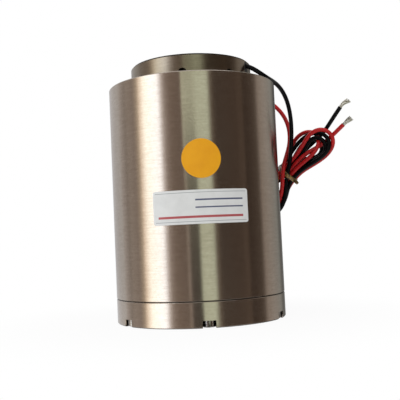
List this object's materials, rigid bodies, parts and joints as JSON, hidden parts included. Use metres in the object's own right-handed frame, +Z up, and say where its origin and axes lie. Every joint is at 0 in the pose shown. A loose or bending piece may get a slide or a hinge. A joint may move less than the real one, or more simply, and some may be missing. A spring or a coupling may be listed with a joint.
{
  "type": "voice coil motor",
  "caption": "Cylindrical voice coil motor: steel housing with a flat base, and a moving coil whose round holder rises out of the open top, with two leads in a tied hank.",
  "frame": {"origin": "centre of the flat base, where it rests on a surface", "axes": "+Z up along the motor's axis, the way the coil moves out; the labelled front faces -Y; the leads leave on the +X side"},
  "size_m": [0.1197, 0.0802, 0.121],
  "materials": {
    "housing_steel": "turned, fine lines around the axis",
    "screw_steel": "bright",
    "core_steel": "turned",
    "black_screw": "black oxide",
    "magnet_nickel": "nickel plated",
    "spacer_aluminium": "turned",
    "holder_metal": "turned, satin",
    "bobbin_metal": "turned",
    "copper_wire": "enamelled",
    "black_rubber": "matte",
    "black_insulation": "soft sheen",
    "red_insulation": "soft sheen",
    "tinned_wire": "tinned strands",
    "tie_film": "film over wire",
    "label_film": "satin film",
    "sticker_film": "satin film"
  },
  "bodies": {
    "magnet_assembly": {"housing_tube": "housing_steel", "base_yoke": "housing_steel", "base_screws": "screw_steel", "centre_core": "core_steel", "core_screws": "black_screw", "magnet_row_lower": "magnet_nickel", "magnet_row_middle": "magnet_nickel", "magnet_row_upper": "magnet_nickel", "spacer_ring_bottom": "spacer_aluminium", "spacer_ring_lower": "spacer_aluminium", "spacer_ring_upper": "spacer_aluminium", "cover_ring": "spacer_aluminium", "bumper_ring": "black_rubber", "white_label": "label_film", "amber_sticker": "sticker_film"},
    "coil_assembly": {"coil_holder": "holder_metal", "bobbin": "bobbin_metal", "holder_screws": "black_screw", "coil_lower": "copper_wire", "coil_middle": "copper_wire", "coil_upper": "copper_wire", "lead_grommet": "black_rubber", "lead_black": "black_insulation", "lead_red": "red_insulation", "lead_hank": "red_insulation", "wire_tie": "tie_film", "tail_black": "black_insulation", "tail_red": "red_insulation", "tinned_end_black": "tinned_wire", "tinned_end_red": "tinned_wire"}
  },
  "joints": [
    {"name": "coil_stroke", "type": "slide", "parent": "magnet_assembly", "child": "coil_assembly", "axis": [0, 0, 1], "range_m": [0, 0.0087]}
  ]
}
